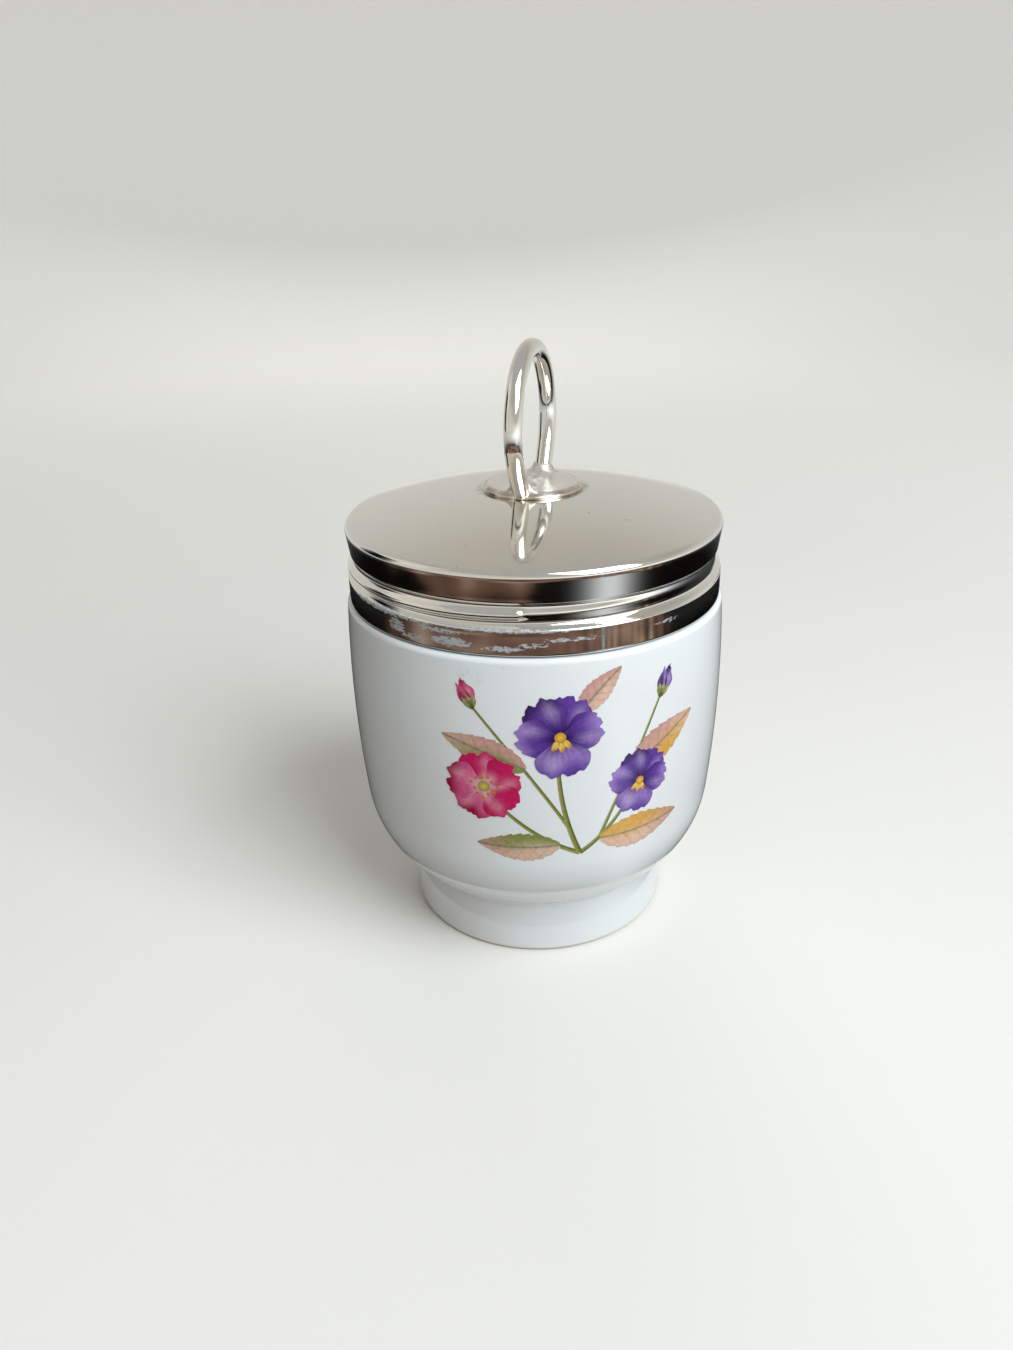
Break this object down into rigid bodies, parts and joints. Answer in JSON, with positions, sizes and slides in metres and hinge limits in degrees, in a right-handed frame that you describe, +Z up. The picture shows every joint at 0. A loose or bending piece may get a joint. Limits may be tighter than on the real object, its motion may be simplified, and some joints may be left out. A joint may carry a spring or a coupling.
{
  "type": "egg coddler",
  "caption": "Porcelain egg coddler: a round footed cup closed by a screw-on domed metal lid with an upright lifting ring on top.",
  "frame": {"origin": "centre of the foot ring's underside, on the table", "axes": "+Z up along the axis of the cup and of the lid's thread; the lifting ring stands in the YZ plane, so a finger goes through it along X"},
  "size_m": [0.0632, 0.0632, 0.0985],
  "materials": {
    "porcelain": "glazed, gloss",
    "plated_lid": "polished plate with light wear",
    "solder": "dull, lumpy"
  },
  "bodies": {
    "cup": {"cup": "porcelain"},
    "lid_carrier": {"ring_plate": "plated_lid"},
    "lid": {"lid_cap": "plated_lid", "lift_ring": "plated_lid", "ring_solder": "solder"}
  },
  "joints": [
    {"name": "lid_lift", "type": "slide", "parent": "cup", "child": "lid_carrier", "axis": [0, 0, 1], "range_m": [0, 0.0201]},
    {"name": "lid_turn", "type": "hinge", "parent": "lid_carrier", "child": "lid", "pos_m": [0, 0, 0], "axis": [0, 0, 1], "range_deg": [0, 2880]}
  ],
  "couplings": [
    {"joint": "lid_lift", "follows": "lid_turn", "m_per_rad": 0.00039789}
  ]
}
